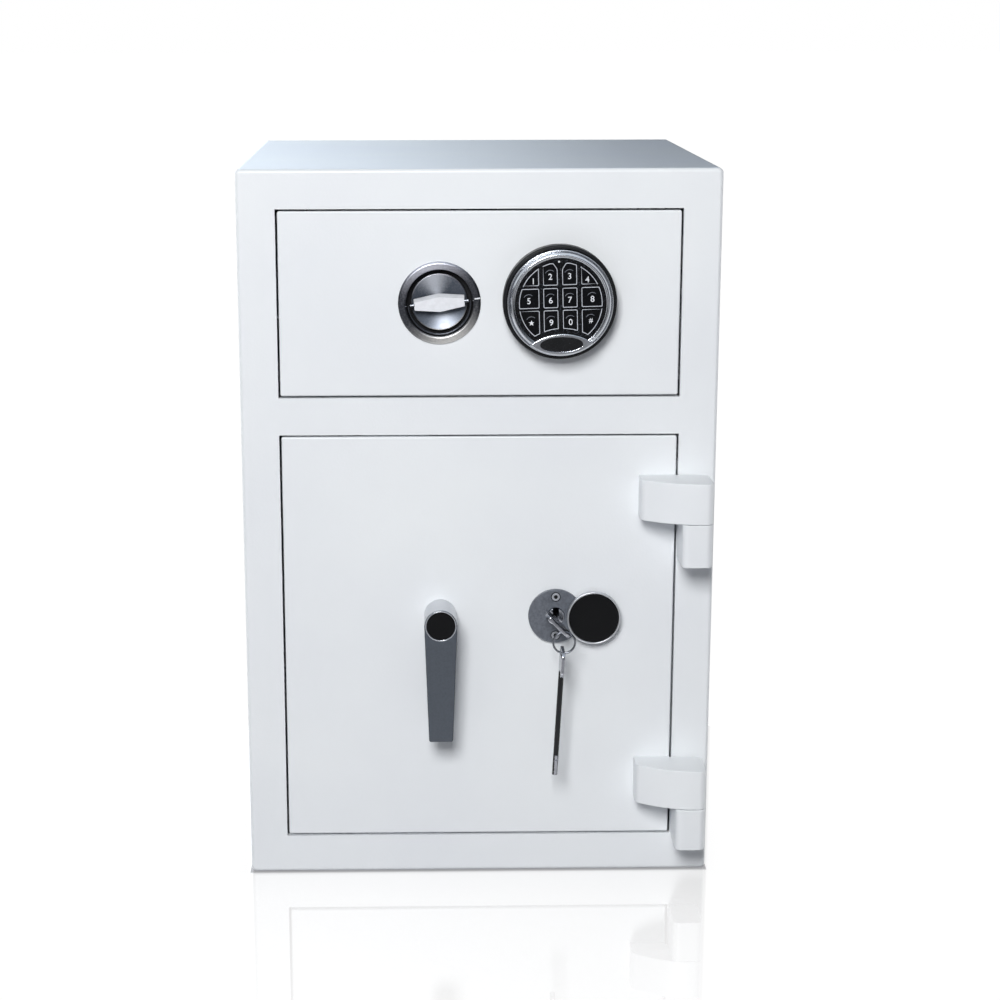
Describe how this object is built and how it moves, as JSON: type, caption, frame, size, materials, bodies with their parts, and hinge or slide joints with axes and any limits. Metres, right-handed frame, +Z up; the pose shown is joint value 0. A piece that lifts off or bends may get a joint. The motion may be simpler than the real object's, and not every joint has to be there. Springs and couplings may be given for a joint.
{
  "type": "drop safe",
  "caption": "Floor-standing steel drop safe: keypad-locked deposit drawer with a drop gate above a key-locked, lever-operated vault door with sliding bolts.",
  "frame": {"origin": "middle of the underside of the cabinet", "axes": "+Z up, the drawer and door face -Y, +X to the right as seen from the front"},
  "size_m": [0.35, 0.3932, 0.535],
  "materials": {
    "white_enamel": "white powder coat with a fine orange peel",
    "inside_enamel": "plain pale grey coat inside",
    "zinc_plate": "bright zinc plate on steel sheet",
    "bright_steel": "turned steel",
    "brushed_steel": "spun and brushed stainless steel",
    "chrome": "polished chrome plate",
    "slate_metal": "grained slate grey metallic coat",
    "pale_metal": "satin silver",
    "black_gloss": "smooth black",
    "black_matt": "black moulded plastic"
  },
  "bodies": {
    "cabinet": {"cabinet_shell": "white_enamel", "front_frame": "white_enamel", "drop_shelf": "inside_enamel", "fishing_baffle": "inside_enamel", "left_runner_channel": "zinc_plate", "right_runner_channel": "zinc_plate", "upper_hinge_knuckle": "white_enamel", "lower_hinge_knuckle": "white_enamel", "upper_hinge_pin": "bright_steel", "lower_hinge_pin": "bright_steel", "gate_trip_bracket": "zinc_plate"},
    "door": {"door_plate": "white_enamel", "upper_hinge_leaf": "white_enamel", "lower_hinge_leaf": "white_enamel", "boltwork_cover": "inside_enamel", "key_lock_case": "slate_metal", "lock_nose": "chrome", "bolt_guide": "zinc_plate", "dead_bar": "zinc_plate", "key_escutcheon": "slate_metal", "escutcheon_screw_top": "chrome", "escutcheon_screw_bottom": "chrome"},
    "handle": {"lever_handle": "slate_metal", "handle_spindle": "pale_metal", "handle_inlay": "black_gloss", "drive_crank": "zinc_plate"},
    "boltwork": {"bolt_bar": "zinc_plate", "locking_bolt_lower": "bright_steel", "locking_bolt_middle": "bright_steel", "locking_bolt_upper": "bright_steel"},
    "lock_bolt": {"key_lock_bolt": "bright_steel"},
    "lock_key": {"inserted_key": "chrome"},
    "ring": {"key_ring": "chrome"},
    "spare": {"spare_key": "chrome"},
    "keyhole_flap": {"keyhole_cover": "pale_metal", "cover_inlay": "black_gloss"},
    "drawer": {"drawer_front": "white_enamel", "drawer_tray": "zinc_plate", "left_drawer_slide": "zinc_plate", "right_drawer_slide": "zinc_plate", "drawer_lock_case": "slate_metal", "pull_cup": "brushed_steel", "keypad_base": "black_matt", "keypad_bezel": "chrome", "keypad_face": "black_gloss"},
    "gate": {"drop_gate": "zinc_plate"},
    "drawer_bolt": {"drawer_lock_bolt": "bright_steel"},
    "bail": {"pull_bail": "pale_metal"},
    "button_1": {"key_1": "black_matt"},
    "button_2": {"key_2": "black_matt"},
    "button_3": {"key_3": "black_matt"},
    "button_4": {"key_4": "black_matt"},
    "button_5": {"key_5": "black_matt"},
    "button_6": {"key_6": "black_matt"},
    "button_7": {"key_7": "black_matt"},
    "button_8": {"key_8": "black_matt"},
    "button_9": {"key_9": "black_matt"},
    "button_0": {"key_0": "black_matt"},
    "button_star": {"key_star": "black_matt"},
    "button_hash": {"key_hash": "black_matt"}
  },
  "joints": [
    {"name": "door_swing", "type": "hinge", "parent": "cabinet", "child": "door", "pos_m": [0.1585, -0.196, 0.186], "axis": [0, 0, 1], "range_deg": [0, 170]},
    {"name": "handle_turn", "type": "hinge", "parent": "door", "child": "handle", "pos_m": [-0.0291, -0.175, 0.20505], "axis": [0, 1, 0], "range_deg": [0, 90]},
    {"name": "bolt_throw", "type": "slide", "parent": "door", "child": "boltwork", "axis": [-1, 0, 0], "range_m": [0, 0.016]},
    {"name": "key_turn", "type": "hinge", "parent": "door", "child": "lock_key", "pos_m": [0.05733, -0.175, 0.20405], "axis": [0, 1, 0], "range_deg": [0, 45]},
    {"name": "lock_bolt_lift", "type": "slide", "parent": "door", "child": "lock_bolt", "axis": [0, 0, 1], "range_m": [0, 0.009]},
    {"name": "ring_swing", "type": "hinge", "parent": "lock_key", "child": "ring", "pos_m": [0.06199, -0.2059, 0.19938], "axis": [0, 1, 0], "range_deg": [-45, 0]},
    {"name": "spare_swing", "type": "hinge", "parent": "ring", "child": "spare", "pos_m": [0.06087, -0.2059, 0.18336], "axis": [0.9986, 0, -0.0523], "range_deg": [-60, 12]},
    {"name": "flap_swing", "type": "hinge", "parent": "door", "child": "keyhole_flap", "pos_m": [0.07113, -0.175, 0.20405], "axis": [0, 1, 0], "range_deg": [-70, 70]},
    {"name": "drawer_pull", "type": "slide", "parent": "cabinet", "child": "drawer", "axis": [0, -1, 0], "range_m": [0, 0.15]},
    {"name": "gate_tilt", "type": "hinge", "parent": "drawer", "child": "gate", "pos_m": [0, -0.01, 0.486], "axis": [1, 0, 0], "range_deg": [-60, 0]},
    {"name": "drawer_bolt_lift", "type": "slide", "parent": "drawer", "child": "drawer_bolt", "axis": [0, 0, 1], "range_m": [0, 0.016]},
    {"name": "bail_lift", "type": "hinge", "parent": "drawer", "child": "bail", "pos_m": [-0.0291, -0.174, 0.439], "axis": [-0.9963, 0, -0.0854], "range_deg": [0, 90]},
    {"name": "press_1", "type": "slide", "parent": "drawer", "child": "button_1", "axis": [0, 1, 0], "range_m": [0, 0.0009], "stiffness_N_per_m": 500},
    {"name": "press_2", "type": "slide", "parent": "drawer", "child": "button_2", "axis": [0, 1, 0], "range_m": [0, 0.0009], "stiffness_N_per_m": 500},
    {"name": "press_3", "type": "slide", "parent": "drawer", "child": "button_3", "axis": [0, 1, 0], "range_m": [0, 0.0009], "stiffness_N_per_m": 500},
    {"name": "press_4", "type": "slide", "parent": "drawer", "child": "button_4", "axis": [0, 1, 0], "range_m": [0, 0.0009], "stiffness_N_per_m": 500},
    {"name": "press_5", "type": "slide", "parent": "drawer", "child": "button_5", "axis": [0, 1, 0], "range_m": [0, 0.0009], "stiffness_N_per_m": 500},
    {"name": "press_6", "type": "slide", "parent": "drawer", "child": "button_6", "axis": [0, 1, 0], "range_m": [0, 0.0009], "stiffness_N_per_m": 500},
    {"name": "press_7", "type": "slide", "parent": "drawer", "child": "button_7", "axis": [0, 1, 0], "range_m": [0, 0.0009], "stiffness_N_per_m": 500},
    {"name": "press_8", "type": "slide", "parent": "drawer", "child": "button_8", "axis": [0, 1, 0], "range_m": [0, 0.0009], "stiffness_N_per_m": 500},
    {"name": "press_9", "type": "slide", "parent": "drawer", "child": "button_9", "axis": [0, 1, 0], "range_m": [0, 0.0009], "stiffness_N_per_m": 500},
    {"name": "press_0", "type": "slide", "parent": "drawer", "child": "button_0", "axis": [0, 1, 0], "range_m": [0, 0.0009], "stiffness_N_per_m": 500},
    {"name": "press_star", "type": "slide", "parent": "drawer", "child": "button_star", "axis": [0, 1, 0], "range_m": [0, 0.0009], "stiffness_N_per_m": 500},
    {"name": "press_hash", "type": "slide", "parent": "drawer", "child": "button_hash", "axis": [0, 1, 0], "range_m": [0, 0.0009], "stiffness_N_per_m": 500}
  ],
  "couplings": [
    {"joint": "bolt_throw", "follows": "handle_turn", "m_per_rad": 0.010185},
    {"joint": "key_turn", "follows": "lock_bolt_lift", "rad_per_m": 87.266},
    {"joint": "ring_swing", "follows": "lock_bolt_lift", "rad_per_m": -87.266},
    {"joint": "gate_tilt", "follows": "drawer_pull", "rad_per_m": -6.981}
  ]
}
